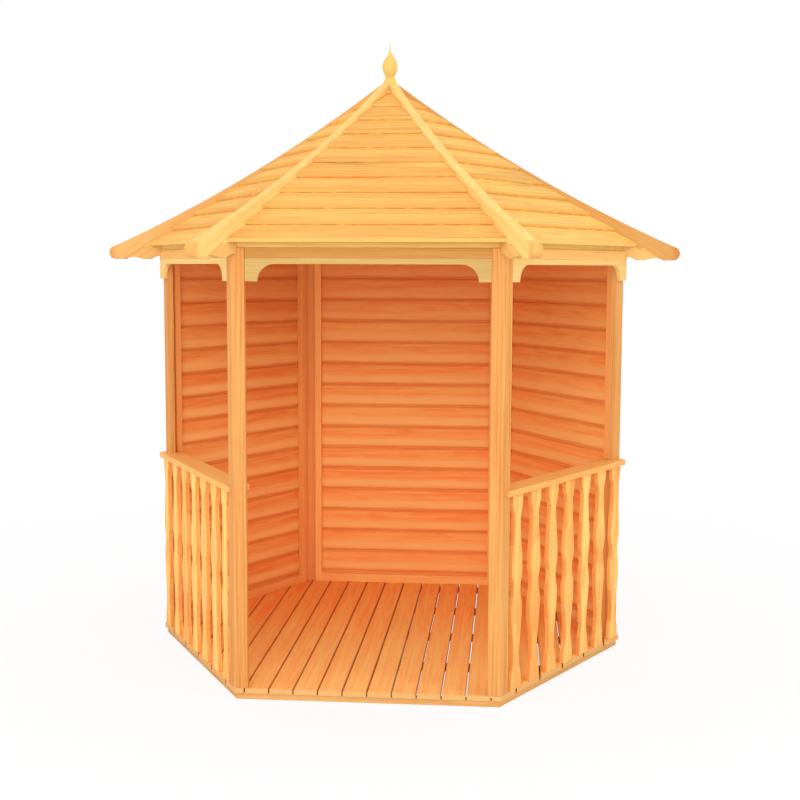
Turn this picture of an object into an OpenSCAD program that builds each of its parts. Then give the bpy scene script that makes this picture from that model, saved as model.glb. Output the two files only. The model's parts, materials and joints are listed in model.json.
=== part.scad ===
// Six-sided timber garden arbor: a boarded floor on bearers, six corner posts, an open front,
// two sides with flat-sawn balusters under a handrail, three boarded rear walls, and a
// six-faced boarded roof with hip rafters, hip caps and a turned finial.
// The origin is on the ground at the centre of the plan. The open front faces -Y.

/* [Plan] */
// Distance across the corners of the walls
corner_span = 2156; // [1900:2:2600]
// Height of the wall head above the ground
wall_head = 1825; // [1500:5:2000]
// Gap left where one piece is fitted between two others
fit_gap = 0.5; // [0.2:0.1:2]

/* [Floor] */
// Height of the bearers and joists
bearer_h = 27; // [20:1:45]
// Width of the bearers round the rim
bearer_w = 38; // [30:1:60]
// Distance the bearers stand in from the edge of the floor
bearer_inset = 10; // [0:1:30]
// Width of the joists
joist_w = 45; // [30:1:60]
// Distance between the centres of the joists
joist_pitch = 462; // [350:1:600]
// Width of the floor boards
floor_board_w = 95; // [70:1:145]
// Gap between the floor boards
floor_board_gap = 5; // [3:1:10]
// Thickness of the floor boards
floor_board_t = 21; // [18:1:32]

/* [Posts] */
// Width of each outer face of a post
post_face = 54; // [50:1:80]
// Thickness of the two staves that make a post
post_t = 27; // [22:1:36]
// Depth of the slot in the post's head that takes the hip rafter
post_slot = 25; // [15:1:40]

/* [Head boards] */
// Thickness of the headers, valances, eaves boards and balusters
trim_t = 20; // [16:1:24]
// Height of the headers
header_h = 40; // [30:1:70]
// Height of the valances at their feet
valance_h = 92; // [80:1:130]
// Height of the valances in the middle
valance_mid_h = 24; // [15:1:40]
// Width of the feet of the front valance
valance_foot = 50; // [35:1:80]
// Width of the feet of the side valances
side_foot = 57; // [35:1:80]
// Distance the front boards stand back from the faces of the posts
front_setback = 3; // [0:0.5:6]
// Distance the eaves boards stand back from the faces of the headers
eaves_setback = 4; // [2:0.5:8]
// Height of the plates behind the headers
plate_h = 62; // [45:1:64]
// Thickness of the plates
plate_t = 27; // [20:1:34]

/* [Balustrade] */
// Height of the underside of the handrails above the ground
rail_z = 850; // [750:5:950]
// Thickness of the handrails
rail_t = 24; // [18:1:34]
// Width of the handrails
rail_w = 100; // [80:1:120]
// Distance the handrails reach out past the balusters
rail_overhang = 13; // [8:1:25]
// Number of balusters on each side
baluster_count = 7; // [4:1:8]
// Distance from the front corner to the centre of the first baluster
baluster_start = 120; // [105:1:125]
// Distance from the rear corner to the centre of the last baluster
baluster_end = 58; // [50:1:80]
// Width of the blocks at both ends of a baluster
baluster_block = 80; // [70:1:90]
// Width of the two narrow necks of a baluster
baluster_neck = 44; // [36:1:52]
// Width of the two bulges of a baluster
baluster_bulge = 82; // [70:1:90]
// Height of each bulge above or below the waist of a baluster
baluster_swell = 78; // [60:1:90]
// Width of the waist between the bulges
baluster_waist = 52; // [44:1:56]

/* [Rear walls] */
// Thickness of the wall boards
cladding_t = 16; // [14:1:20]
// Height that each wall board covers
cladding_cover = 113.4; // [90:0.1:140]
// Height of the cove along the top of each wall board
cladding_cove = 22; // [12:1:30]
// Rise of the rounded inner face of each wall board
cladding_crown = 3; // [1:0.5:4]
// Width of the stiles of the wall frames
stile_w = 35; // [28:1:60]
// Height of the rails of the wall frames
frame_rail_h = 44; // [30:1:70]
// Thickness of the wall frames
frame_t = 27; // [20:1:36]

/* [Roof] */
// Slope of the six roof faces in degrees
roof_pitch = 36.4; // [28:0.1:42]
// Height of the roof's underside above the wall head, at the wall's outer face
eaves_h = 52; // [40:1:70]
// Distance the roof boards reach out past the walls
eaves_reach = 42; // [25:0.5:60]
// Width that each roof board covers
roof_cover = 114; // [90:1:140]
// Thickness of the roof boards at their lower edge
roof_butt = 17; // [14:1:24]
// Thickness of the roof boards at their upper edge
roof_feather = 4; // [3.5:0.5:8]

/* [Hips] */
// Width of the hip caps
cap_w = 44; // [40:1:56]
// Distance the caps stand out past the sides of the hip rafters under them
cap_lip = 3; // [1:0.5:5]
// Thickness left in the roof boards where they run under the hip caps
cap_seat = 3; // [2:0.5:3.5]
// Height of the top of the caps above the rafters at the thinnest place, square to the hip
cap_mid = 9; // [8:1:30]
// Height of the top of the caps above the rafters' line at the nose, square to the hip
cap_rise = 87; // [75:1:120]
// Diameter of the caps' round noses
cap_nose = 60; // [44:1:70]
// Distance from the corner of the eaves to the centre of the nose, along the hip
cap_reach = 148; // [120:1:200]
// Length of the round belly under a rafter's tail
tail_belly = 124; // [100:1:140]
// Drop of the belly below the rafter's seat
tail_belly_drop = 16; // [8:1:20]
// Rise of the hollow that follows the belly
tail_hollow = 10; // [5:1:14]
// Length of the drooping tip past the hollow
tail_tip = 50; // [30:1:60]
// Drop of the tip
tail_tip_drop = 6; // [3:1:10]
// Width across the flats of the king block at the peak
king_w = 120; // [100:1:150]

/* [Finial] */
// Height of the finial above its seat on the hip caps
finial_h = 183; // [160:1:200]
// Diameter of the finial's bulb
finial_d = 68; // [56:1:74]
// Diameter of the finial's foot
finial_foot_d = 60; // [50:1:64]
// Height of the finial's foot
finial_foot_h = 26; // [18:1:30]
// Diameter of the finial's ring
finial_ring_d = 40; // [34:1:46]
// Diameter of the finial's spigot
spigot_d = 40; // [30:1:42]

/* [Hidden] */
$fn = 64;

// The sides are numbered anticlockwise from the front: 0 front, 1 front right, 2 back right,
// 3 back, 4 back left, 5 front left. In a side's own frame its outer face looks along -Y.
SIDE = 60;
far = 2 * corner_span;

corner_r = corner_span / 2;
wall_a = corner_r * cos(30);
half_side = corner_r / 2;
bay_half = half_side - post_face - fit_gap;

floor_z = bearer_h + floor_board_t;
rim_a = wall_a - bearer_inset;
floor_pitch = floor_board_w + floor_board_gap;

header_z = wall_head - header_h;
valance_z = header_z - valance_h;
cove_r = valance_h - valance_mid_h;

side_post_a = wall_a - trim_t;
stave_in = post_face * sin(30) + post_t * cos(30);
post_inner_r = corner_r - stave_in;

rail_a = wall_a + rail_overhang;
baluster_h = rail_z - floor_z;
baluster_pitch = (corner_r - baluster_start - baluster_end) / (baluster_count - 1);

frame_a = wall_a - cladding_t;
top_joint = wall_head - 20.6;

eave_a = wall_a + eaves_reach;
eave_z = wall_head + eaves_h - eaves_reach * tan(roof_pitch);
eave_r = eave_a / cos(30);
slope_len = eave_a / cos(roof_pitch);
roof_courses = ceil(slope_len / roof_cover);

rafter_w = cap_w - 2 * cap_lip;
hip_slope = tan(roof_pitch) * cos(30);
hip_pitch = atan(hip_slope);
under_peak = eave_z + eave_a * tan(roof_pitch);
nose_u = eave_r / cos(hip_pitch) + cap_reach;
cap_low = nose_u * 0.325;
nose_v = cap_rise - cap_nose / 2;
nose_bottom = under_peak - nose_u * sin(hip_pitch) + nose_v * cos(hip_pitch) - cap_nose / 2;
seat_u = (finial_foot_d / 2 - 1 - cap_top(0) * sin(hip_pitch)) / cos(hip_pitch);
finial_z = under_peak - seat_u * sin(hip_pitch) + cap_top(seat_u) * cos(hip_pitch);

rafter_seat_z = wall_head - post_slot;
rafter_drop = under_peak - hip_slope * post_inner_r - rafter_seat_z;
tail_r = corner_r + 3;
king_a = king_w / 2;
king_h = 125;
spigot_len = finial_z - under_peak + 60;

// Height of a cap's hollow top above the line of the hip, at a distance u down from the peak.
function cap_top(u) = cap_mid + (cap_rise - cap_mid) * pow((u - cap_low) / (nose_u - cap_low), 2);

// ---- Shared shapes ----

// An edge that eases from each station [along, across] to the next.
function eased(a, b, f) = a + (b - a) * (1 - cos(180 * f)) / 2;
function eased_edge(stations, steps) = concat(
    [for (k = [0 : len(stations) - 2]) for (j = [0 : steps - 1]) [
        stations[k][0] + (stations[k + 1][0] - stations[k][0]) * j / steps,
        eased(stations[k][1], stations[k + 1][1], j / steps)]],
    [stations[len(stations) - 1]]
);

// Turns a side's own frame to the side's place.
module on_side(i) {
    rotate([0, 0, SIDE * i]) children();
}

// A flat outline in Y and Z, drawn out along X between two stations.
module along_x(x0, x1) {
    translate([x0, 0, 0]) rotate([90, 0, 90]) linear_extrude(x1 - x0) children();
}

// A flat outline in X and Z, drawn inwards from a wall face at distance a.
module from_face(a, t) {
    translate([0, t - a, 0]) rotate([90, 0, 0]) linear_extrude(t) children();
}

// A flat outline in radius and Z, drawn out to both sides of a corner's direction.
module on_hip(angle, w) {
    rotate([0, 0, angle]) rotate([90, 0, 0]) linear_extrude(w, center = true) children();
}

// Everything inside a hexagon with its flats at distance a.
module hexagon(a) {
    circle(r = a / cos(30), $fn = 6);
}

// The sixth of the plan behind one side, drawn in by a margin from its two corner lines.
module bay(margin = 0) {
    translate([0, -margin / sin(30)])
        polygon([[0, 0], [-far * tan(30), -far], [far * tan(30), -far]]);
}

// All that lies on the inner side of a face at distance a.
module inside_face(a) {
    translate([-far, -a]) square([2 * far, 2 * far]);
}

// The space above one roof plane, starting a little above the roof's underside.
module above_roof(i, lift, start = 0) {
    on_side(i) translate([0, -eave_a, eave_z]) rotate([roof_pitch, 0, 0])
        translate([-far, start, lift]) cube([2 * far, 2 * far, far]);
}

// The space below one roof plane.
module below_roof(i, lift) {
    on_side(i) translate([0, -eave_a, eave_z]) rotate([roof_pitch, 0, 0])
        translate([-far, -far, lift - far]) cube([2 * far, 4 * far, far]);
}

// The upright slot round a piece of width w on the hip between side i and the next.
module hip_slot(i, w, z0) {
    rotate([0, 0, SIDE * (i - 1)]) translate([0, -w / 2 - fit_gap, z0])
        cube([far, w + 2 * fit_gap, far]);
}

// ---- Floor ----

module bearer(i) {
    on_side(i) linear_extrude(bearer_h) intersection() {
        translate([-far, -rim_a]) square([2 * far, bearer_w]);
        bay();
    }
}

module bearers(first) {
    color("burlywood") for (i = [first : 2 : 5]) bearer(i);
}

module joists() {
    color("burlywood") for (k = [-1 : 1])
        linear_extrude(bearer_h) intersection() {
            translate([-far, k * joist_pitch - joist_w / 2]) square([2 * far, joist_w]);
            hexagon(rim_a - bearer_w);
        }
}

module floor_boards() {
    last = ceil(corner_r / floor_pitch) - 1;
    color("sandybrown") for (k = [-last - 1 : last])
        translate([0, 0, bearer_h]) linear_extrude(floor_board_t) intersection() {
            translate([k * floor_pitch + floor_board_gap / 2, -far]) square([floor_board_w, 2 * far]);
            hexagon(wall_a);
        }
}

// ---- Posts ----

// Two mitred staves at the corner between side i and the next, with their outer faces at
// distances a and b. The margin grows the outline for the notches of pieces fitted round it.
module post_plan(i, a, b, margin = 0) {
    reach = post_face + margin;
    intersection() {
        union() {
            on_side(i) translate([half_side - reach, -a - margin])
                square([2 * reach, post_t + 2 * margin]);
            on_side(i + 1) translate([-half_side - reach, -b - margin])
                square([2 * reach, post_t + 2 * margin]);
        }
        on_side(i) inside_face(a + margin);
        on_side(i + 1) inside_face(b + margin);
    }
}

module post(i, a, b) {
    color("sandybrown") difference() {
        translate([0, 0, floor_z]) linear_extrude(wall_head - floor_z) post_plan(i, a, b);
        hip_slot(i, rafter_w, rafter_seat_z);
    }
}

// ---- Head of the walls ----

// A board face that ends between two posts.
module between_posts(z0, z1) {
    translate([-bay_half, z0]) square([2 * bay_half, z1 - z0]);
}

// The plan of a side board: it starts at the front corner post and runs past the side post,
// where its end is cut in line with the rear wall.
module side_board_plan() {
    intersection() {
        translate([-bay_half, -wall_a]) square([far, trim_t]);
        on_side(1) inside_face(wall_a);
    }
}

// The outline of a valance: a narrow middle and a foot at each end, with round coves between.
module valance_face(x0, x1, foot) {
    difference() {
        translate([x0, valance_z]) square([x1 - x0, valance_h]);
        translate([x0 + foot + cove_r, valance_z - cove_r])
            square([x1 - x0 - 2 * foot - 2 * cove_r, 2 * cove_r]);
        translate([x0 + foot + cove_r, valance_z]) circle(r = cove_r);
        translate([x1 - foot - cove_r, valance_z]) circle(r = cove_r);
    }
}

module header_front() {
    color("peru") from_face(wall_a - front_setback, trim_t) between_posts(header_z, wall_head);
}

module valance_front() {
    color("burlywood") from_face(wall_a - front_setback, trim_t)
        valance_face(-bay_half, bay_half, valance_foot);
}

module header_right() {
    color("burlywood") difference() {
        on_side(1) translate([0, 0, header_z]) linear_extrude(header_h) side_board_plan();
        hip_slot(1, rafter_w, rafter_seat_z);
    }
}

module valance_right() {
    color("burlywood") on_side(1) intersection() {
        translate([0, 0, valance_z]) linear_extrude(valance_h) side_board_plan();
        from_face(wall_a, trim_t) valance_face(-bay_half, half_side, side_foot);
    }
}

module plate(i, a) {
    on_side(i) translate([0, 0, wall_head - plate_h]) linear_extrude(plate_h) intersection() {
        translate([-bay_half, -a]) square([2 * bay_half, plate_t]);
        bay(rafter_w / 2 + fit_gap);
    }
}

module plate_front() {
    color("burlywood") plate(0, wall_a - front_setback - trim_t);
}

module plates_side() {
    color("burlywood") {
        plate(1, wall_a - trim_t);
        plate(5, wall_a - trim_t);
    }
}

// The eaves board stands on the wall head and the post heads, between two hip rafters.
// Its top is planed to the slope of the roof.
module eaves_board(i) {
    a = wall_a - eaves_setback;
    color("burlywood") on_side(i) intersection() {
        along_x(-corner_r, corner_r) polygon([
            [-a, wall_head], [-a, under_peak - a * tan(roof_pitch)],
            [trim_t - a, under_peak - (a - trim_t) * tan(roof_pitch)], [trim_t - a, wall_head]
        ]);
        linear_extrude(far) bay(rafter_w / 2 + fit_gap);
    }
}

// ---- Balustrade ----

module baluster_face() {
    block = baluster_block / 2;
    neck = baluster_neck / 2;
    bulge = baluster_bulge / 2;
    waist_z = baluster_h * 0.515;
    side = eased_edge([
        [0, block], [baluster_h * 0.03, block], [baluster_h * 0.165, neck],
        [waist_z - baluster_swell, bulge], [waist_z, baluster_waist / 2],
        [waist_z + baluster_swell, bulge],
        [baluster_h * 0.87, neck], [baluster_h * 0.965, block], [baluster_h, block]
    ], 6);
    translate([0, floor_z]) polygon(concat(
        [for (p = side) [p[1], p[0]]],
        [for (k = [len(side) - 1 : -1 : 0]) [-side[k][1], side[k][0]]]
    ));
}

module balusters_right() {
    color("navajowhite") on_side(1) for (k = [0 : baluster_count - 1])
        translate([baluster_start - half_side + k * baluster_pitch, 0, 0])
            from_face(wall_a, trim_t) baluster_face();
}

// The handrail stops against the corner post in front, where only its outer lip laps half the
// post's face. Behind, the lip runs on past the side post to meet the line of the rear wall.
module handrail_right() {
    color("burlywood") translate([0, 0, rail_z]) linear_extrude(rail_t) difference() {
        intersection() {
            on_side(1) translate([post_face / 2 - half_side, -rail_a]) square([far, rail_w]);
            hexagon(rail_a);
        }
        on_side(1) translate([-half_side, -wall_a - fit_gap]) square([post_face + fit_gap, far]);
        post_plan(1, side_post_a, wall_a, fit_gap);
        intersection() {
            on_side(2) translate([-far, -far]) square([2 * far, far - frame_a + frame_t + fit_gap]);
            on_side(1) inside_face(side_post_a + fit_gap);
        }
    }
}

// ---- Rear walls ----

module frame(i) {
    color("burlywood") on_side(i) from_face(frame_a, frame_t) difference() {
        between_posts(floor_z, wall_head);
        translate([-bay_half + stile_w, floor_z + frame_rail_h])
            square([2 * (bay_half - stile_w), wall_head - floor_z - 2 * frame_rail_h]);
    }
}

// One upright section through the wall boards: a cove along the top of each board outside,
// and a gently rounded face with a small V along each joint inside.
module cladding_section() {
    joints = [for (z = top_joint; z > floor_z + cladding_cove + 10; z = z - cladding_cover) z];
    last = len(joints) - 1;
    cove = cladding_t / 3;
    v = 3;
    steps = 8;
    ends = concat([wall_head], joints, [floor_z]);
    outer = [for (z = joints) each [
        [-wall_a, z], [cove - wall_a, z],
        [cove / 2 - wall_a, z - cladding_cove / 2], [-wall_a, z - cladding_cove]]];
    inner = [for (k = [last + 1 : -1 : 0])
        let (
            low = ends[k + 1] + (k > last ? 0 : v),
            high = ends[k] - (k == 0 ? 0 : v),
            middle = (k == 0 ? ends[1] : ends[k] - cladding_cover) + cladding_cover / 2
        ) each concat(
            [for (j = [0 : steps]) let (z = low + (high - low) * j / steps) [
                -frame_a - cladding_crown * pow(2 * (z - middle) / cladding_cover, 2), z]],
            k > 0 ? [[-frame_a - cladding_crown - v, ends[k]]] : []
        )];
    polygon(concat([[-wall_a, wall_head]], outer, [[-wall_a, floor_z]], inner));
}

module cladding(i) {
    color("chocolate") on_side(i) along_x(-bay_half, bay_half) cladding_section();
}

// ---- Roof ----

// Lapped boards drawn as one face: each is thick at its lower edge and thin under the next.
module roof_section() {
    over = 30;
    thin = (roof_butt - roof_feather) / roof_cover;
    last = (roof_courses - 1) * roof_cover;
    laps = [for (k = [roof_courses - 2 : -1 : 0]) each [
        [(k + 1) * roof_cover, roof_feather], [k * roof_cover, roof_butt]]];
    polygon(concat(
        [[0, 0], [slope_len + over, 0],
         [slope_len + over, roof_butt - (slope_len + over - last) * thin], [last, roof_butt]],
        laps
    ));
}

// Along both hips the boards are cut down to a thin seat that runs under the caps.
module roof_face(i) {
    color("sandybrown") difference() {
        on_side(i) intersection() {
            translate([0, -eave_a, eave_z]) rotate([roof_pitch, 0, 0])
                along_x(-eave_r, eave_r) roof_section();
            linear_extrude(far) bay();
        }
        for (k = [i - 1, i]) intersection() {
            hip_slot(k, cap_w, 0);
            above_roof(i, cap_seat, -far / 2);
        }
        cylinder(d = spigot_d + 2 * fit_gap, h = far);
    }
}

// ---- Hips ----

// A rafter along the corner between side i and the next, planed to the two roof faces inside
// the eaves and to the hip cap beyond them. Its tail has a round belly, a hollow and a tip.
module hip_rafter(i) {
    inner_r = king_a + fit_gap;
    low_r = tail_r + tail_belly * 0.45;
    hollow_r = tail_r + tail_belly;
    end_r = hollow_r + tail_tip;
    low_z = rafter_seat_z - tail_belly_drop;
    color("burlywood") difference() {
        on_hip(SIDE * (i - 1), rafter_w) polygon(concat(
            [[inner_r, under_peak + 100], [inner_r, under_peak - hip_slope * inner_r - rafter_drop],
             [post_inner_r, rafter_seat_z]],
            eased_edge([
                [tail_r, rafter_seat_z], [low_r, low_z], [hollow_r, low_z + tail_hollow],
                [end_r, low_z + tail_hollow - tail_tip_drop]
            ], 8),
            [[end_r, under_peak + 100]]
        ));
        for (k = [i, i + 1]) {
            above_roof(k, 0);
            above_roof(k, roof_butt, -far / 2);
        }
    }
}

// The side of a hip cap, drawn down the slope: a hollow top and a round nose. Past the eaves
// its underside rises to the height of the butts.
module cap_side() {
    steps = 24;
    deep = -cap_mid;
    step_u = eave_r / cos(hip_pitch) + roof_butt;
    flank_v = (roof_butt / cos(roof_pitch) - tan(roof_pitch) * cap_w / 4) * cos(hip_pitch);
    polygon(concat(
        [[-cap_nose, deep], [step_u, deep], [step_u, flank_v], [nose_u, flank_v]],
        [for (j = [steps : -1 : 0]) [nose_u * j / steps, cap_top(nose_u * j / steps)]],
        [[-cap_nose, cap_top(0)]]
    ));
    translate([nose_u, nose_v]) circle(d = cap_nose);
}

// A cap over a hip rafter, let in between the boards of the two roof faces, fitted to their
// seats and to the rafter's tail, and mitred against its neighbours at the peak.
module hip_cap(i) {
    angle = SIDE * (i - 1);
    color("navajowhite") difference() {
        intersection() {
            on_hip(angle, cap_w) intersection() {
                translate([0, under_peak]) rotate(-hip_pitch) cap_side();
                translate([-far, nose_bottom]) square(2 * far);
            }
            rotate([0, 0, angle + 90]) linear_extrude(finial_z) bay();
        }
        intersection() {
            below_roof(i, cap_seat);
            below_roof(i + 1, cap_seat);
        }
        hip_rafter(i);
        cylinder(d = spigot_d + 2 * fit_gap, h = far);
    }
}

module king_block() {
    bottom = under_peak - hip_slope * king_a - king_h;
    color("burlywood") difference() {
        rotate([0, 0, 30]) translate([0, 0, bottom])
            linear_extrude(under_peak - bottom) hexagon(king_a);
        for (i = [0 : 5]) above_roof(i, 0);
        translate([0, 0, finial_z - spigot_len]) cylinder(d = spigot_d + 2 * fit_gap, h = far);
    }
}

// A turned finial: a flared foot, a ring, and a bulb that draws up to a thin point.
module finial() {
    foot = finial_foot_d / 2;
    ring = finial_ring_d / 2;
    bulb = finial_d / 2;
    neck_z = finial_foot_h + 3;
    ring_top = neck_z + 6;
    belly_z = ring_top + 37;
    point_z = belly_z + 77;
    steps = 12;
    point_r = 3.5;
    color("navajowhite") translate([0, 0, finial_z]) {
        translate([0, 0, -spigot_len]) cylinder(d = spigot_d, h = spigot_len + 1);
        rotate_extrude() polygon(concat(
            [[0, 0], [foot, 0], [foot, 3]],
            [for (j = [1 : 6]) [
                ring + (foot - ring) * cos(15 * j), 3 + (finial_foot_h - 3) * j / 6]],
            [[ring - 2, finial_foot_h + 1], [ring - 2, neck_z - 1]],
            [for (j = [0 : 6]) [ring - 2 + 3 * sin(30 * j), (neck_z + ring_top) / 2 - 3.5 * cos(30 * j)]],
            [for (j = [1 : steps]) [
                bulb * sqrt(1 - pow(1 - j / steps, 2) * 0.7),
                ring_top + (belly_z - ring_top) * j / steps]],
            [for (j = [1 : steps]) [
                point_r + (bulb - point_r) * (1 + cos(180 * pow(j / steps, 1.25))) / 2,
                belly_z + (point_z - belly_z) * j / steps]],
            [[1.5, finial_h - 3], [0, finial_h]]
        ));
    }
}

// ---- Left side: the right side mirrored ----

module mirrored() {
    mirror([1, 0, 0]) children();
}

bearers(0);  // bearers_a
bearers(1);  // bearers_b
joists();
floor_boards();
mirrored() post(0, wall_a, wall_a);  // post_front_left
post(0, wall_a, wall_a);  // post_front_right
mirrored() post(1, side_post_a, wall_a);  // post_left
post(1, side_post_a, wall_a);  // post_right
mirrored() post(2, wall_a, wall_a);  // post_back_left
post(2, wall_a, wall_a);  // post_back_right
plate_front();
plates_side();
header_front();
mirrored() header_right();  // header_left
header_right();
valance_front();
mirrored() valance_right();  // valance_left
valance_right();
for (i = [-1 : 1]) eaves_board(i);  // eaves_boards_front
for (i = [2 : 4]) eaves_board(i);  // eaves_boards_back
mirrored() balusters_right();  // balusters_left
balusters_right();
mirrored() handrail_right();  // handrail_left
handrail_right();
frame(3);  // frame_back
frame(4);  // frame_back_left
frame(2);  // frame_back_right
cladding(3);  // cladding_back
cladding(4);  // cladding_back_left
cladding(2);  // cladding_back_right
roof_face(0);  // roof_front
roof_face(5);  // roof_front_left
roof_face(1);  // roof_front_right
roof_face(3);  // roof_back
roof_face(4);  // roof_back_left
roof_face(2);  // roof_back_right
for (i = [-1, 0]) hip_rafter(i);  // hip_rafters_front
for (i = [1, 4]) hip_rafter(i);  // hip_rafters_side
for (i = [2, 3]) hip_rafter(i);  // hip_rafters_back
for (i = [-1, 0]) hip_cap(i);  // hip_caps_front
for (i = [1, 4]) hip_cap(i);  // hip_caps_side
for (i = [2, 3]) hip_cap(i);  // hip_caps_back
king_block();
finial();
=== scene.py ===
# %% [markdown]
# # A six-sided garden arbor in honey-stained softwood
# The arbor is a small open building: a boarded floor, six corner posts, an open front, two sides
# with wavy balusters, three boarded rear walls and a pointed roof. The construction, with every
# timber at its real size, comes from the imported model. This lesson gives it its finish: planed
# softwood whose grain runs the right way on every piece, softened edges, nails and screws, and a
# plain studio around it.

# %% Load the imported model
import json
import math

import bmesh
import bpy
from mathutils import Matrix, Vector

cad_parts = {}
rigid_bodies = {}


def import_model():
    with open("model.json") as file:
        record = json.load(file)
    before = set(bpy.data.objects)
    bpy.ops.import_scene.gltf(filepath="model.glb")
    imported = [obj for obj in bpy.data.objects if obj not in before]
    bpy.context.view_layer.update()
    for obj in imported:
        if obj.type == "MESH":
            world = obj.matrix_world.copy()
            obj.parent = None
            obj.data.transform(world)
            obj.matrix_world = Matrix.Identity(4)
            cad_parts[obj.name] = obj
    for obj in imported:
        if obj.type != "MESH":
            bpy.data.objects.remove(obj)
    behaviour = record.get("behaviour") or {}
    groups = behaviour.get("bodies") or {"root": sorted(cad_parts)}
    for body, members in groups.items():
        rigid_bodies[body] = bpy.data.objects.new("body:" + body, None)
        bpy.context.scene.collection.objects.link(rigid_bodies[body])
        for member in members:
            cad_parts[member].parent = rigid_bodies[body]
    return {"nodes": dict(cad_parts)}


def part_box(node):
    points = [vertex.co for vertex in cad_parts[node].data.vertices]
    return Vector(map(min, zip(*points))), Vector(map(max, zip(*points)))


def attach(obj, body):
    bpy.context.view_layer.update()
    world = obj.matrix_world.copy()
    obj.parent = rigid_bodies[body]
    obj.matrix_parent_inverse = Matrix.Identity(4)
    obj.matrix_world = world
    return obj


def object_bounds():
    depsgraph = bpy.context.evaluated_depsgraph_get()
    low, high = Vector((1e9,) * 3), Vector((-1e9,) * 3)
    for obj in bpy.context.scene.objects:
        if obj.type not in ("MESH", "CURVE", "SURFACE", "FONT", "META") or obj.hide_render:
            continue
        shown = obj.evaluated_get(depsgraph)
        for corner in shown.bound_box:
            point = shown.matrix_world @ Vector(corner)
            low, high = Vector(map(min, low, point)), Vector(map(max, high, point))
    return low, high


for leftover in list(bpy.data.objects):
    bpy.data.objects.remove(leftover)
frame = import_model()
nodes = frame["nodes"]
cad_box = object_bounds()
print("nodes:", len(nodes), "height:", round(cad_box[1].z, 3))

# %% [markdown]
# ## The arbor's own measures
# Boards, walls and roof faces repeat round a regular hexagon, so a few numbers place everything:
# how far the walls and the eaves stand from the centre, the height of the floor and of the wall
# head, and the slope of the roof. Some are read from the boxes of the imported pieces. The others
# can't be read from a box, so they are written here, in metres: the spacing of the boards, the
# width of a stile, the strip of wall board above the highest joint, the thickness of the roof
# boards, how far the eaves reach out, and the slope.

# %% Read the measures
corner_r, wall_out, floor_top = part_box("floor_boards")[1]
wall_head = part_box("post_front_right")[1].z
frame_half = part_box("frame_back")[1].x
eave_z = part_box("roof_front")[0].z
roof_reach = cad_box[1].x

floor_pitch = 0.100
baluster_pitch = 0.150
stile_width = 0.035
cladding_cover = 0.1134
top_strip = 0.0206
roof_pitch = math.radians(36.4)
roof_cover = 0.114
roof_butt = 0.017
roof_feather = 0.004
eaves_reach = 0.042

first_joint = wall_head - top_strip
eave_out = wall_out + eaves_reach
hip_pitch = math.atan(math.tan(roof_pitch) * math.cos(math.radians(30)))
print("wall", round(wall_out, 4), "corner", round(corner_r, 4), "eave", round(eave_out, 4))

# %% [markdown]
# ## Maths on the surface
# A shader is a small sum worked out at every point of a surface. Written as a web of nodes such a
# sum is hard to read. Written as Python it is one line. The class below wraps one number on the
# surface, so that `1 - mask` or `a * b + c` adds the right Math nodes by itself.

# %% A number on the surface
class Number:
    def __init__(self, shader, socket):
        self.shader = shader
        self.socket = socket

    def math(self, operation, *others):
        return self.shader.math(operation, self, *others)

    def __add__(self, other):
        return self.math("ADD", other)

    __radd__ = __add__

    def __sub__(self, other):
        return self.math("SUBTRACT", other)

    def __rsub__(self, other):
        return self.shader.math("SUBTRACT", other, self)

    def __mul__(self, other):
        return self.math("MULTIPLY", other)

    __rmul__ = __mul__

    def __truediv__(self, other):
        return self.math("DIVIDE", other)

    def __pow__(self, other):
        return self.math("POWER", other)

    def __mod__(self, other):
        return self.math("FLOORED_MODULO", other)

    def __gt__(self, other):
        return self.math("GREATER_THAN", other)

    def __lt__(self, other):
        return self.math("LESS_THAN", other)

    def __abs__(self):
        return self.math("ABSOLUTE")

    def floor(self):
        return self.math("FLOOR")

    def root(self):
        return self.math("SQRT")

    def steps(self, low, high, new_low=0.0, new_high=1.0):
        """A smooth step: new_low below low, new_high above high."""
        return self.shader.add(
            "ShaderNodeMapRange", {"interpolation_type": "SMOOTHSTEP"},
            {"Value": self, "From Min": low, "From Max": high,
             "To Min": new_low, "To Max": new_high})


# %% [markdown]
# Every other node comes from one method. It takes the node's type, its settings, which are set
# first because they can change the sockets, and then what goes into its sockets: a plain value or
# another number on the surface. A few short helpers on top of it name the nodes that timber needs.

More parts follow.
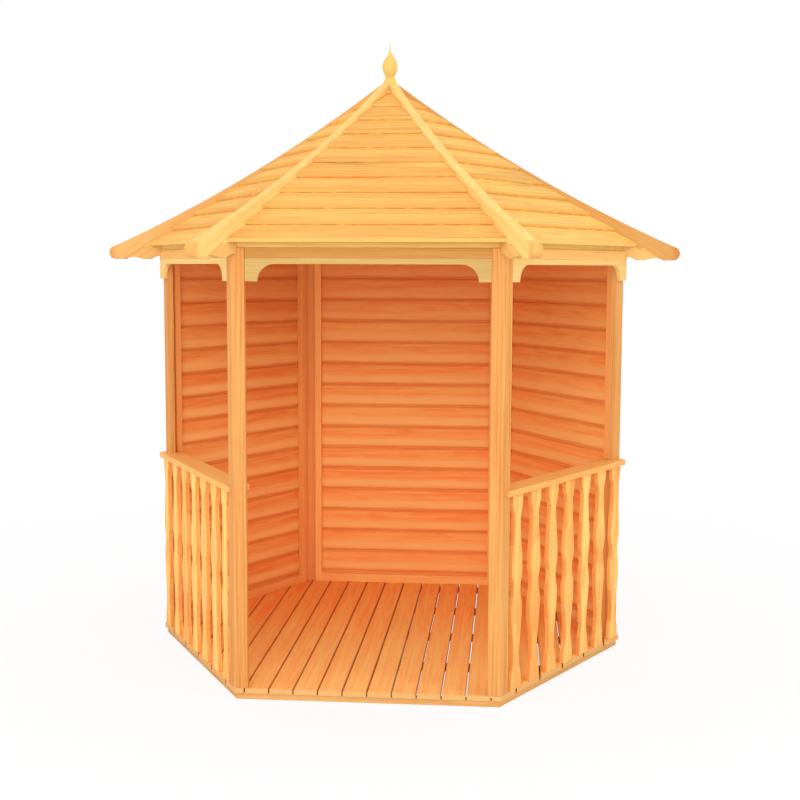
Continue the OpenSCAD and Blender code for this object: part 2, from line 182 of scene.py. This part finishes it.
# %% A material as a workbench for such numbers
class Shader:
    def __init__(self, name):
        self.material = bpy.data.materials.new(name)
        self.material.use_nodes = True
        self.tree = self.material.node_tree
        self.surface = self.tree.nodes["Principled BSDF"]
        self.place = self.add("ShaderNodeTexCoord", output="Object")

    def add(self, kind, settings=None, inputs=None, output=0):
        node = self.tree.nodes.new(kind)
        for name, value in (settings or {}).items():
            setattr(node, name, value)
        for name, value in (inputs or {}).items():
            self.feed(node.inputs[name], value)
        return Number(self, node.outputs[output])

    def feed(self, socket, value):
        if isinstance(value, Number):
            self.tree.links.new(value.socket, socket)
        else:
            socket.default_value = value

    def math(self, operation, *values):
        return self.add("ShaderNodeMath", {"operation": operation}, dict(enumerate(values)))

    def dot(self, direction, of=None):
        """How far the place on the surface, or another vector, reaches in a direction."""
        return self.add("ShaderNodeVectorMath", {"operation": "DOT_PRODUCT"},
                        {0: of or self.place, 1: direction}, output="Value")

    def vector(self, x, y, z):
        return self.add("ShaderNodeCombineXYZ", None, {"X": x, "Y": y, "Z": z})

    def noise(self, vector, detail=2.0, roughness=0.5):
        return self.add("ShaderNodeTexNoise", None,
                        {"Vector": vector, "Scale": 1.0, "Detail": detail, "Roughness": roughness})

    def chance(self, number):
        return self.add("ShaderNodeTexWhiteNoise", {"noise_dimensions": "1D"}, {"W": number})

    def mix(self, factor, low, high, blend="MIX"):
        return self.add("ShaderNodeMix", {"data_type": "RGBA", "blend_type": blend},
                        {0: factor, 6: low, 7: high}, output=2)

    def bump(self, height, strength, distance):
        return self.add("ShaderNodeBump", None,
                        {"Strength": strength, "Distance": distance, "Height": height})


def colour(red, green, blue):
    """A colour named as a screen shows it, turned into the plain light that Blender works in."""
    def plain(value):
        value /= 255
        return value / 12.92 if value <= 0.04045 else ((value + 0.055) / 1.055) ** 2.4
    return (plain(red), plain(green), plain(blue), 1.0)


# %% [markdown]
# ## Which way the grain runs
# A plank is cut along the tree, so its fibres run along its length. Texture painted the same way
# over a whole building looks like wallpaper. So each kind of piece gets its own measure of a
# point: how far it is along the grain, how far across, how far through, and the number of its
# board. The first helper serves everything that runs along one of the six walls: it finds the
# wall that the point is nearest to and measures along that wall.

# %% Grain along a wall, and up the roof
wall_angles = [math.radians(60 * k) for k in range(3)]

# Nothing is greater than the largest itself, so it is compared with a hair less.
hair = 0.00001

# Each wall or frame has room for this many numbers, so that the next one never repeats them.
boards_a_wall = 31
balusters_a_wall = 17
members_a_frame = 7


def nearest(s, ways_out, ways_along):
    """Of three ways out from the centre and their opposites, the one that a point lies furthest
    along: its distance along that side, its distance out, and the number of the side."""
    outs = [s.dot(way) for way in ways_out]
    alongs = [s.dot(way) for way in ways_along]
    sizes = [abs(out) for out in outs]
    largest = s.math("MAXIMUM", s.math("MAXIMUM", sizes[0], sizes[1]), sizes[2])
    along = 0.0
    side = 0.0
    for k in range(3):
        chosen = sizes[k] > largest - hair
        along = chosen * alongs[k] + along
        side = chosen * (k + 3 * (outs[k] > 0)) + side
    return along, largest, side


def nearest_wall(s):
    """Distance along the nearest wall, distance out from the centre, and the wall's number."""
    return nearest(s, [(math.sin(a), -math.cos(a), 0) for a in wall_angles],
                   [(math.cos(a), math.sin(a), 0) for a in wall_angles])


def along_wall(s):
    along, out, wall = nearest_wall(s)
    return along, s.dot((0, 0, 1)), out, wall


def along_wall_boards(s):
    """Wall boards: counted downwards from the highest joint."""
    along, out, wall = nearest_wall(s)
    row = (s.dot((0, 0, 1)) - first_joint) / cladding_cover
    across = (row % 1.0 - 0.5) * cladding_cover
    return along, across, out, row.floor() + boards_a_wall * wall


def roof_rows(s):
    """Distance along a roof board, how many boards up the slope, how far through, and the face."""
    along, out, wall = nearest_wall(s)
    height = s.dot((0, 0, 1)) - eave_z
    up = (eave_out - out) * math.cos(roof_pitch) + height * math.sin(roof_pitch)
    through = height * math.cos(roof_pitch) - (eave_out - out) * math.sin(roof_pitch)
    return along, up / roof_cover, through, wall


def along_roof_boards(s):
    """Roof boards: counted up the slope from the eaves."""
    along, row, through, wall = roof_rows(s)
    across = (row % 1.0 - 0.5) * roof_cover
    return along, across, through, row.floor() + boards_a_wall * wall


# %% [markdown]
# The other pieces are simpler. Posts, stiles and balusters have upright grain, the floor boards
# run from front to back, the joists run across, and the rafters and caps run down the six hips. A
# wall frame has two ways in one piece: level in its rails and upright in its stiles.

# %% Upright grain
slantwise = (0.92, 0.39, 0)
square_to_that = (-0.39, 0.92, 0)


def upright(s):
    """Posts: the rings lie slantwise to the faces, so that no two faces look alike."""
    return s.dot((0, 0, 1)), s.dot(slantwise), s.dot(square_to_that), 0.0


def turned(s):
    """The finial, turned with its rings edge on to the front."""
    return s.dot((0, 0, 1)), s.dot((0, 1, 0)), s.dot((1, 0, 0)), 0.0


def upright_boards(s):
    """Balusters: a new board at each pitch along the wall, cut flat. The line between two boards
    falls about 10 mm inside one edge of each baluster's bulges, not midway between balusters."""
    along, out, wall = nearest_wall(s)
    number = (along / baluster_pitch).floor()
    across = (along / baluster_pitch % 1.0 - 0.5) * baluster_pitch
    return s.dot((0, 0, 1)), across, out, number + balusters_a_wall * wall


# %% Floor grain and frame grain
joist_row = 0.2
between_rails = 1.0


def front_to_back(s):
    """Floor boards, counted from left to right."""
    row = s.dot((1, 0, 0)) / floor_pitch
    across = (row % 1.0 - 0.5) * floor_pitch
    return s.dot((0, 1, 0)), across, s.dot((0, 0, 1)), row.floor()


def side_to_side(s):
    """Joists: numbered by rows. The middle joist lies on the line between two rows."""
    row = (s.dot((0, 1, 0)) / joist_row).floor()
    return s.dot((1, 0, 0)), s.dot((0, 1, 0)), s.dot((0, 0, 1)), row


def frame_grain(s):
    """The wall frames: rails with level grain, butted between two upright stiles."""
    along, out, wall = nearest_wall(s)
    up = s.dot((0, 0, 1))
    rail = abs(along) < frame_half - stile_width
    level = 1 - rail
    member = rail * (up > between_rails) + 2 * (along > 0) * level
    number = member + wall * members_a_frame
    return along * rail + up * level, up * rail + along * level, out, number


# %% Hip grain
def along_hip(s):
    """Distance to the side of the nearest hip, distance out from the centre, and its number."""
    return nearest(s, [(math.cos(a), math.sin(a), 0) for a in wall_angles],
                   [(-math.sin(a), math.cos(a), 0) for a in wall_angles])


def down_hip(s):
    """Rafters and caps: measured down the slope of the nearest hip."""
    side, out, hip = along_hip(s)
    height = s.dot((0, 0, 1))
    along = out * math.cos(hip_pitch) - height * math.sin(hip_pitch)
    through = height * math.cos(hip_pitch) + out * math.sin(hip_pitch)
    return along, side, through, hip


# %% [markdown]
# ## Planed softwood under a honey stain
# Softwood grows a pale, wide band in spring and a narrow, dark, hard band in summer. A plank cuts
# through these rings, so its face shows long dark lines that wander, close up and open into
# arches. A stretched noise alone would give streaks but no arches. So the rings are drawn the way
# they grow: as circles round a pith that lies a little outside the board, bent by a slow noise
# along the grain. On the ends of a timber the same rings then show as arcs, with no extra work.
# Every noise is stretched in the way that wood is: a few waves to a metre along the fibres, and
# tens or hundreds of them across.

# %% Growth rings
pith_sideways = 0.16
pith_below = 0.05
slow_bend = 0.05
quick_bend = 0.005


def growth_rings(s, place, start, luck, luck_too, ring):
    """How deep in the dark summer wood a point lies, from 0 to 1. A ring is so many metres wide."""
    along, across, through = place
    slow = s.noise(s.vector(along * 0.8 + start, across * 4, through * 4), detail=2.0)
    wander = s.noise(s.vector(along * 3.1 + start, across * 14, through * 14), detail=1.0)
    pith_across = across + (luck - 0.5) * pith_sideways
    pith_through = through + pith_below + luck_too * pith_below
    radius = (pith_across * pith_across + pith_through * pith_through).root()
    radius = radius + (slow - 0.5) * slow_bend + (wander - 0.5) * quick_bend
    turn = (radius / ring) % 1.0
    return turn.steps(0.3, 0.88) * (1 - turn.steps(0.92, 1.0))


# %% [markdown]
# A knot is where a branch left the trunk. A list of places for every board would be long, and a
# Voronoi texture does without one: it has one point in each of its cells. Most cells are left
# empty, and in the others the point is a knot, with a little darker wood round it.

# %% Knots
empty_cells = 0.8
knot_rim = (0.04, 0.075)
halo_rim = (0.06, 0.3)


def scattered_knots(s, place, start, key):
    """How much of a point is knot, and how much is the darker wood round it."""
    along, across, through = place
    cells = s.add("ShaderNodeTexVoronoi", {"feature": "F1"},
                  {"Vector": s.vector(along * 5 + start, across * 9, through * 9), "Scale": 1.0},
                  output="Distance")
    cell = Number(s, cells.socket.node.outputs["Position"])
    few = s.chance(cell.math("ADD", 0.5).floor() + key) > empty_cells
    return (1 - cells.steps(*knot_rim)) * few, (1 - cells.steps(*halo_rim)) * few


# %% [markdown]
# The finish puts these together. Over the rings lie long soft streaks, short dark dashes, fine
# fibres and broad clouds, and a difference of tone from board to board, because no two boards come
# from the same tree. They could be layers of paint, each in its own colour. Here they add up to
# one number, the depth, which picks a colour between the pale and the deep tone of the piece, so
# that two colours are enough for any timber. A slight relief of the same fibres keeps the soft
# sheen from looking like plastic.

# %% The timber material
knot_brown = colour(168, 88, 38)
middle_depth = 0.36
fibre_share = 0.35
relief_strength = 0.3
relief_height = 0.0005
wood_gloss = 0.08


def timber(name, grain, pale, deep, seed, ring=0.007, rings=0.30, streaks=0.9, clouds=0.5,
           dashes=0.25, tone=0.16, knots=0.4, sheen=0.62, stain=None):
    """A timber finish. A ring is so many metres wide, and sheen is how rough the face is. The
    numbers from rings to knots say how strongly each of them shows."""
    s = Shader(name)
    along, across, through, number = grain(s)
    key = number * 1.37 + seed * 7.13
    luck = s.chance(key)
    luck_too = s.chance(key + 40.7)
    start = luck * 13 + seed * 2.3
    place = (along, across, through)
    summer = growth_rings(s, place, start, luck, luck_too, ring)
    knot, halo = scattered_knots(s, place, start, key)

    fibre = s.noise(s.vector(along * 11 + start, across * 380, through * 380),
                    detail=3.0, roughness=0.6)
    streak = s.noise(s.vector(along * 2.2 + start, across * 75, through * 75), detail=3.0)
    cloud = s.noise(s.vector(along * 1.1 + start, across * 9, through * 9), detail=2.0)
    dash = s.noise(s.vector(along * 7 + start, across * 170, through * 170), detail=2.0)
    dash = dash.steps(0.55, 0.75)

    depth = summer * rings + (streak - 0.5) * streaks + (fibre - 0.5) * fibre_share
    depth = depth + (cloud - 0.5) * clouds + dash * dashes + (luck - 0.5) * tone * 2
    depth = (depth + halo * knots * 0.3 + middle_depth).steps(-0.1, 1.1)
    face = s.mix(depth, pale, deep)
    face = s.mix(knot * knots * 0.7, face, knot_brown)
    if stain:
        face = stain(s, face)
    s.feed(s.surface.inputs["Base Color"], face)
    s.feed(s.surface.inputs["Roughness"], sheen + (fibre - 0.5) * 0.12 - summer * 0.06)
    relief = fibre * 0.5 + summer * 0.3 + streak * 0.3
    s.feed(s.surface.inputs["Normal"], s.bump(relief, relief_strength, relief_height))
    s.surface.inputs["Specular IOR Level"].default_value = wood_gloss
    return s.material


# %% [markdown]
# ## Where the stain and the painted light lie
# A thin stain isn't the same depth everywhere. It runs into the V joint between two wall boards
# and dries dark there. Low on the rounded face of each board lies a painted highlight, a paler band
# where the light falls, and the upper boards get painted shade from the eaves, which also dims
# that band. This could be painted on by hand, board by board. A rule does it for all of them at
# once: it looks at where the point lies on its board, as a share of the board's width, and lays
# one more glaze over the timber.

# %% Stain and painted light on the walls
# The brown that the stain dries to in the joints, and the colour of the painted shade on walls,
# roof and floor.
joint_and_shade_brown = colour(190, 96, 44)
# The paler colour of the painted highlight low on each wall board.
painted_belly_light = colour(255, 202, 128)


def glaze(s, face, strength, shade):
    """Multiply the colour of the face by a shade, where the strength says so."""
    return s.mix(strength, face, shade, blend="MULTIPLY")


def wall_stain(s, face):
    """Dark in the joint, a painted highlight on the belly and painted shade near the eaves. The
    fall is 0 at a board's top and 1 at its foot.
    """
    along, _, wall = nearest_wall(s)
    row = (s.dot((0, 0, 1)) - first_joint) / cladding_cover
    fall = 1 - row % 1.0
    rough_line = s.noise(s.vector(along * 14, row * 3, wall * 9), detail=2.0)
    edge = s.math("MINIMUM", fall, row % 1.0)
    joint = edge.steps(0.0, 0.025) * (1 - edge.steps(0.03, 0.09 + rough_line * 0.1))
    # Painted highlight: a paler band low on each board's rounded face, where the light falls.
    belly = fall.steps(0.42, 0.68) * (1 - fall.steps(0.78, 1.0))
    # Painted shade: darker towards the eaves, where the painted highlight fades too.
    shade = s.dot((0, 0, 1)).steps(floor_top + 0.9, wall_head)
    face = s.mix(belly * (1 - shade * 0.6) * 0.65, face, painted_belly_light)
    face = glaze(s, face, shade * 0.22, joint_and_shade_brown)
    return glaze(s, face, joint * 0.35, joint_and_shade_brown)


# %% [markdown]
# On the roof a painted shadow lies in the corner under each lapped board, and the cut edge of each
# board gets a painted highlight. The floor gets painted light towards its open front and painted
# shade towards the back under the roof, and the ends of the floor boards, sawn across the fibres,
# dry to a dull straw.

# %% Painted shadow and highlight on the roof
# Cream: the finial's pale tone, and the colour of the painted highlight on the roof boards' cut
# edges.
cream = colour(250, 205, 116)


def roof_lap_shading(s, face):
    """A painted highlight on the cut edge and a painted shadow where the next board laps on. The
    place is 0 at a board's cut edge and 1 at the cut edge of the next."""
    along, row, _, wall = roof_rows(s)
    place = row % 1.0
    rough_line = s.noise(s.vector(along * 16, row.floor() * 3, wall * 9), detail=2.0)
    # Painted highlight on each board's cut edge, in cream.
    butt_highlight = s.math("MAXIMUM", 1 - place.steps(0.0, 0.012), place.steps(0.994, 0.998))
    # Painted shadow in the corner under each lapped board.
    lap_shadow = place.steps(0.90, 0.985) * (1 - butt_highlight) * rough_line.steps(0.25, 0.6)
    # Painted shade: a slightly darker band just above each board's cut edge.
    shade_band = (1 - place.steps(0.10, 0.32)) * (1 - butt_highlight)
    face = glaze(s, face, shade_band * 0.12, joint_and_shade_brown)
    face = s.mix(butt_highlight * 0.6, face, cream)
    return glaze(s, face, lap_shadow * 0.8, joint_and_shade_brown)


# %% Stain and painted light on the floor
# The paler colour of the painted light on the front of the floor.
painted_light_colour = colour(255, 214, 136)
end_straw = colour(214, 168, 106)


def floor_stain(s, face):
    """Painted light towards the front and painted shade towards the back, darker along the
    board's edges, straw on the sawn ends.
    """
    out = nearest_wall(s)[1]
    row = s.dot((1, 0, 0)) / floor_pitch
    edge = s.math("MINIMUM", row % 1.0, 1 - row % 1.0)
    rim = out > wall_out - 0.001
    # Painted light: paler towards the open front, with painted shade darker towards the back under
    # the roof.
    lit_front = 1 - s.dot((0, 1, 0)).steps(-wall_out, wall_out * 0.8)
    face = s.mix(lit_front * 0.35, face, painted_light_colour)
    face = glaze(s, face, (1 - lit_front) * 0.12, joint_and_shade_brown)
    face = glaze(s, face, (1 - edge.steps(0.03, 0.09)) * 0.35, joint_and_shade_brown)
    return s.mix(rim * 0.85, face, end_straw)


# %% [markdown]
# Planed faces take up little stain. The sawn edges of the balusters and the end grain of the caps'
# round noses drink more, and the noses also carry painted shade on their rounded ends. And no two
# caps come from one tree: the one on the right is redder.

# %% Stain on sawn edges, and stain and painted shade on the caps
edge_orange = colour(236, 150, 84)
redder = colour(234, 222, 214)


def edge_stain(s, face):
    """The sawn edges of a baluster drink more stain than its planed face."""
    facing = s.add("ShaderNodeNewGeometry", output="True Normal")
    outs = [abs(s.dot((math.sin(a), -math.cos(a), 0), of=facing)) for a in wall_angles]
    flat = s.math("MAXIMUM", s.math("MAXIMUM", outs[0], outs[1]), outs[2])
    return glaze(s, face, (1 - flat.steps(0.90, 0.99)) * 0.45, edge_orange)


def cap_stain(s, face):
    """The end grain of a cap's round nose drinks a little more stain and carries painted shade."""
    # Painted shade on the rounded nose, on top of its darker end grain.
    nose = along_hip(s)[1].steps(roof_reach - 0.045, roof_reach - 0.008)
    return glaze(s, face, nose * 0.4, edge_orange)


def side_cap_stain(s, face):
    """The cap on the right is cut from redder wood than the one on the left."""
    right = s.dot((1, 0, 0)).steps(-0.1, 0.1)
    return cap_stain(s, glaze(s, face, right, redder))


# %% [markdown]
# ## One finish for each family of pieces
# The whole arbor is cut from the same stained softwood, so the families share one recipe and
# differ in the way of the grain, in tone and in how strongly the rings show. The walls and the
# floor are of a redder, deeper tone than the posts, and the planed trim is the palest. A row names
# the pieces it serves by how their names begin, and the first row that fits a piece is taken.

# %% The families
wall_looks = {"stain": wall_stain, "ring": 0.005, "rings": 0.20, "streaks": 1.7, "dashes": 0.5}
roof_looks = {"stain": roof_lap_shading, "streaks": 2.0, "clouds": 0.9, "rings": 0.22,
              "dashes": 0.6, "tone": 0.12}

families = [
    # Painted shade: the back-left post and frame are deeper than the other back ones, as the shade
    # on that wall.
    (("post_back_left", "frame_back_left"), frame_grain, colour(246, 176, 102),
     colour(242, 144, 74), {}),
    (("post_back_", "frame_"), frame_grain, colour(255, 192, 113), colour(255, 158, 83), {}),
    (("post_",), upright, colour(226, 164, 92), colour(204, 126, 62),
     {"streaks": 1.5, "clouds": 0.8}),
    (("king_block",), upright, colour(225, 140, 70), colour(190, 104, 50), {}),
    (("balusters_",), upright_boards, colour(250, 208, 120), colour(236, 158, 80),
     {"stain": edge_stain, "clouds": 1.3, "tone": 0.2}),
    (("finial",), turned, cream, colour(232, 168, 88), {}),
    # Painted shade under the eaves: the front valance is a darker khaki than the other valances.
    (("valance_front",), along_wall, colour(208, 176, 107), colour(186, 146, 82), {}),
    (("header_front",), along_wall, colour(204, 148, 78), colour(178, 110, 54), {}),
    # Painted light under the eaves: the eaves boards are a pale khaki to lift the roof's shadow.
    (("eaves_boards_",), along_wall, colour(244, 212, 123), colour(216, 164, 85), {}),
    (("handrail_",), along_wall, colour(250, 192, 112), colour(240, 158, 84), {}),
    (("bearers_",), along_wall, colour(226, 176, 108), colour(206, 146, 82), {}),
    (("header_",), along_wall, colour(246, 194, 112), colour(232, 162, 86), {}),
    (("valance_",), along_wall, colour(240, 204, 128), colour(226, 182, 108), {}),
    (("plate",), along_wall, colour(235, 174, 96), colour(217, 140, 69), {}),
    # Painted shade: the back-left wall boards are deeper, as the shade the left balusters cast on
    # them.
    (("cladding_back_left",), along_wall_boards, colour(248, 170, 95), colour(240, 134, 67),
     wall_looks),
    (("cladding_",), along_wall_boards, colour(255, 180, 102), colour(252, 144, 73), wall_looks),
    # Lit copies of the roof boards: the two front side faces are paler than the other faces, as
    # painted light.
    (("roof_front_left",), along_roof_boards, colour(242, 192, 97), colour(230, 160, 77),
     roof_looks),
    (("roof_front_right",), along_roof_boards, colour(243, 200, 106), colour(230, 166, 83),
     roof_looks),
    (("roof_",), along_roof_boards, colour(234, 183, 98), colour(220, 150, 76), roof_looks),
    (("floor_boards",), front_to_back, colour(255, 194, 108), colour(255, 146, 68),
     {"stain": floor_stain, "streaks": 1.7, "clouds": 0.9, "rings": 0.2, "dashes": 0.4}),
    (("joists",), side_to_side, colour(235, 174, 96), colour(217, 140, 69), {}),
    (("hip_rafters_",), down_hip, colour(236, 190, 112), colour(218, 156, 88), {}),
    (("hip_caps_side",), down_hip, colour(232, 184, 108), colour(214, 154, 92),
     {"stain": side_cap_stain, "rings": 0.15}),
    (("hip_",), down_hip, colour(240, 208, 128), colour(230, 178, 100),
     {"stain": cap_stain, "rings": 0.15}),
]

print("families:", len(families))

# %% Finish every piece
for seed, name in enumerate(sorted(nodes)):
    family = next(row for row in families if name.startswith(row[0]))
    _, grain, pale, deep, looks = family
    wood = timber(name + " timber", grain, pale, deep, seed, **looks)
    nodes[name].data.materials.clear()
    nodes[name].data.materials.append(wood)
print("timber finishes:", len(nodes))

# %% [markdown]
# ## Screws and nails
# The arbor is held together by small plated heads: two screws where a floor board crosses a joist
# or the rim, two nails through each end of every whole wall board into the frame behind it, and a
# nail near each end of every roof board but the two shortest. The floor's last board on each side
# is so short that it takes one screw at a time. A head is only four or five millimetres across,
# but it is what the eye looks for close up. Each one is a low dome with a cross-shaped recess. They
# could be hundreds of copies of one small piece, but those would be slow to handle, so all the
# heads of one kind are built as one piece.

# %% Build the heads
tarnish_waves = 60


def plated():
    """Yellow plating that has dulled, a little differently on every head."""
    s = Shader("plated steel")
    ways = [(tarnish_waves, 0, 0), (0, tarnish_waves, 0), (0, 0, tarnish_waves)]
    tarnish = s.noise(s.vector(*[s.dot(way) for way in ways]), detail=3.0)
    face = s.mix(tarnish, colour(214, 178, 120), colour(150, 118, 78))
    s.feed(s.surface.inputs["Base Color"], face)
    s.feed(s.surface.inputs["Roughness"], tarnish.steps(0.2, 0.8, 0.35, 0.6))
    s.surface.inputs["Metallic"].default_value = 0.85
    return s.material


steel = plated()
head_sides = 12
cross_waist = 0.42
# Each level of a head: its share of the radius, its share of the rise, and whether it is a cross.
head_levels = [(1.0, -0.4, False), (1.0, 0.35, False), (0.8, 1.0, False), (0.62, 1.0, True),
               (0.5, 0.3, True)]


def heads(name, spots, radius, rise):
    """One piece with a round head at every spot. A spot is a place and the way the head faces."""
    mesh = bmesh.new()
    for place, facing in spots:
        turn = facing.to_track_quat("Z", "Y")
        levels = []
        for size, height, crossed in head_levels:
            level = []
            for k in range(head_sides):
                reach = radius * size * (cross_waist if crossed and k % 3 else 1)
                angle = math.tau * k / head_sides
                local = Vector((reach * math.cos(angle), reach * math.sin(angle), rise * height))
                level.append(mesh.verts.new(place + turn @ local))
            levels.append(level)
        for low, high in zip(levels, levels[1:]):
            for k in range(head_sides):
                after = (k + 1) % head_sides
                mesh.faces.new((low[k], low[after], high[after], high[k]))
        mesh.faces.new(levels[-1])
    data = bpy.data.meshes.new(name)
    mesh.to_mesh(data)
    mesh.free()
    piece = bpy.data.objects.new(name, data)
    bpy.context.scene.collection.objects.link(piece)
    data.materials.append(steel)
    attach(piece, "root")
    print(name, len(spots))


# %% Screws in the floor
screw_spread = 0.028
joist_lines = (-0.462, 0.0, 0.462)
front_inset = 0.030
slant_inset = 0.058
screw_gap = 0.060
half_floor = math.ceil(corner_r / floor_pitch)

up = Vector((0, 0, 1))
deck = []
for k in range(-half_floor, half_floor):
    for spread in (-screw_spread, screw_spread):
        x = (k + 0.5) * floor_pitch + spread
        edge = min(wall_out - front_inset, (corner_r - abs(x)) * math.sqrt(3) - slant_inset)
        lines = [edge, -edge] + [y for y in joist_lines if abs(y) < edge - screw_gap]
        deck += [(Vector((x, y, floor_top)), up) for y in lines if edge > screw_gap / 2]
heads("deck_screws", deck, radius=0.0026, rise=0.0005)

# %% Nails in the walls
nail_rises = (0.022, 0.058)
nail_line = frame_half - stile_width / 2

wall_spots = []
for turn in (120, 180, 240):
    spin = Matrix.Rotation(math.radians(turn), 3, "Z")
    outward = spin @ Vector((0, -1, 0))
    z = first_joint - cladding_cover
    while z > floor_top:
        for along in (-nail_line, nail_line):
            for rise in nail_rises:
                wall_spots.append((spin @ Vector((along, -wall_out, z + rise)), outward))
        z -= cladding_cover
heads("wall_nails", wall_spots, radius=0.0022, rise=0.0004)

# %% Nails in the roof
nailed_rows = 10
nail_up = 0.035
nail_from_hip = 0.055
nail_from_middle = 0.020
taper = (roof_butt - roof_feather) / roof_cover
thick = roof_butt - nail_up * taper
tilt = roof_pitch - math.atan(taper)

roof_spots = []
for turn in range(0, 360, 60):
    spin = Matrix.Rotation(math.radians(turn), 3, "Z")
    facing = spin @ Vector((0, -math.sin(tilt), math.cos(tilt)))
    for row in range(nailed_rows):
        climb = row * roof_cover + nail_up
        out = eave_out - climb * math.cos(roof_pitch) + thick * math.sin(roof_pitch)
        z = eave_z + climb * math.sin(roof_pitch) + thick * math.cos(roof_pitch)
        half_row = (eave_out - climb * math.cos(roof_pitch)) * math.tan(math.radians(30))
        along = half_row - nail_from_hip
        for side in (-1, 1):
            if along > nail_from_middle:
                roof_spots.append((spin @ Vector((side * along, -out, z)), facing))
heads("roof_nails", roof_spots, radius=0.0022, rise=0.0004)

# %% [markdown]
# ## Softened edges
# A planed edge is never a perfect line: a plane or a sheet of sandpaper takes it off by a
# millimetre, and that small round catches the light all along every board. A Bevel modifier
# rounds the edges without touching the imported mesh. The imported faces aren't joined along their
# edges, so a Weld modifier comes first. The finial comes off a lathe and keeps its crisp rings.

# %% Round the edges
board_round = 0.0012
timber_round = 0.002
weld_reach = 0.00002
sharp_from = math.radians(35)


def soften(piece, width, segments=2):
    weld = piece.modifiers.new("weld", "WELD")
    weld.merge_threshold = weld_reach
    bevel = piece.modifiers.new("soft edges", "BEVEL")
    bevel.width = width
    bevel.segments = segments
    bevel.limit_method = "ANGLE"
    bevel.angle_limit = sharp_from
    bevel.harden_normals = False


for name, piece in nodes.items():
    thin_boards = name.startswith(("cladding_", "roof_"))
    if name != "finial":
        soften(piece, board_round if thin_boards else timber_round)
print("softened pieces:", len(nodes) - 1)

# %% [markdown]
# ## The studio
# The arbor stands on a plain pale floor under soft light from all round. A large lamp high in front
# lights the roof and the posts, a low one shines in through the doorway, and one on each side, the
# right one stronger, gives the corners their shape. The room round it is plain white. Seen by the
# camera or in a reflection, the floor glows nearly white too and so runs into the room without an
# edge, and the small part that doesn't glow keeps the arbor's faint shadow. Under the arbor it is
# wholly white, so that the gaps between the floor boards look light. The lamps stay at a plain
# level, so the timber shows its own colour.

# %% Floor
bpy.ops.mesh.primitive_plane_add(size=60)
ground = bpy.context.object
ground.name = "ground"
near_glow = 0.84
glow_from, glow_full = 1.6, 5.0
under_inset = 0.02
pale = Shader("pale floor")
pale.surface.inputs["Base Color"].default_value = (0.86, 0.86, 0.86, 1)
pale.surface.inputs["Roughness"].default_value = 0.9
rays = pale.add("ShaderNodeLightPath").socket.node.outputs
seen = Number(pale, rays["Is Camera Ray"])
for kind in ("Is Glossy Ray", "Is Transmission Ray"):
    seen = pale.math("MAXIMUM", seen, Number(pale, rays[kind]))
glow = pale.add("ShaderNodeEmission", None, {"Color": (1, 1, 1, 1), "Strength": 1.0})
away = (pale.dot((1, 0, 0)) ** 2 + pale.dot((0, 1, 0)) ** 2).root()
under = nearest_wall(pale)[1] < wall_out - under_inset
seen = seen * away.steps(glow_from, glow_full, near_glow, 1.0) + seen * (1 - near_glow) * under
lit = Number(pale, pale.surface.outputs["BSDF"])
blend = pale.add("ShaderNodeMixShader", None, {0: seen, 1: lit, 2: glow})
pale.tree.links.new(blend.socket, pale.tree.nodes["Material Output"].inputs["Surface"])
ground.data.materials.append(pale.material)
print("studio floor:", round(ground.dimensions.x), "m wide")

# %% World and lamps
world = bpy.data.worlds.new("studio")
bpy.context.scene.world = world
world.use_nodes = True
room = world.node_tree.nodes["Background"]
room.inputs["Color"].default_value = (1, 1, 1, 1)
room.inputs["Strength"].default_value = 1.0


def lamp(name, place, aim, size, watts):
    data = bpy.data.lights.new(name, "AREA")
    data.shape = "DISK"
    data.size = size
    data.energy = watts
    light = bpy.data.objects.new(name, data)
    bpy.context.scene.collection.objects.link(light)
    light.location = place
    light.rotation_mode = "QUATERNION"
    light.rotation_quaternion = (Vector(aim) - Vector(place)).to_track_quat("-Z", "Y")
    print("lamp:", name, watts, "W")


lamp("front", place=(-0.8, -8.0, 4.8), aim=(0, 0, 1.0), size=4.0, watts=132)
lamp("left", place=(-6.0, -3.5, 5.0), aim=(0, 0, 1.8), size=3.0, watts=34)
lamp("right", place=(6.0, -3.5, 5.0), aim=(0, 0, 1.8), size=3.0, watts=74)
lamp("low front", place=(0.0, -7.5, 1.6), aim=(0, 0, 1.0), size=2.5, watts=72)

# %% [markdown]
# ## The camera
# A visitor's eye in front of the arbor, a little to the right of the doorway, looks slightly
# down. The turn and the tilt are small, and a small shift centres the frame.

# %% Camera
camera_data = bpy.data.cameras.new("camera")
camera = bpy.data.objects.new("camera", camera_data)
bpy.context.scene.collection.objects.link(camera)
eye = (0.5597, -5.9616, 1.7498)
turn_left = math.radians(5.106)
tilt_down = math.radians(-5.989)
lean = math.radians(-0.192)
level_look = Matrix.Rotation(math.radians(90), 4, "X")
look = (Matrix.Rotation(turn_left, 4, "Z") @ Matrix.Rotation(tilt_down, 4, "X")
        @ Matrix.Rotation(lean, 4, "Y") @ level_look)
camera.matrix_world = Matrix.Translation(eye) @ look
camera_data.sensor_width = 36
camera_data.lens = 58.23
camera_data.shift_x = 0.0064
camera_data.shift_y = 0.0038
camera_data.clip_end = 100
bpy.context.scene.camera = camera
bpy.context.scene.view_settings.view_transform = "Standard"
print("camera:", round(-eye[1], 2), "m in front,", round(camera_data.lens, 2), "mm lens")
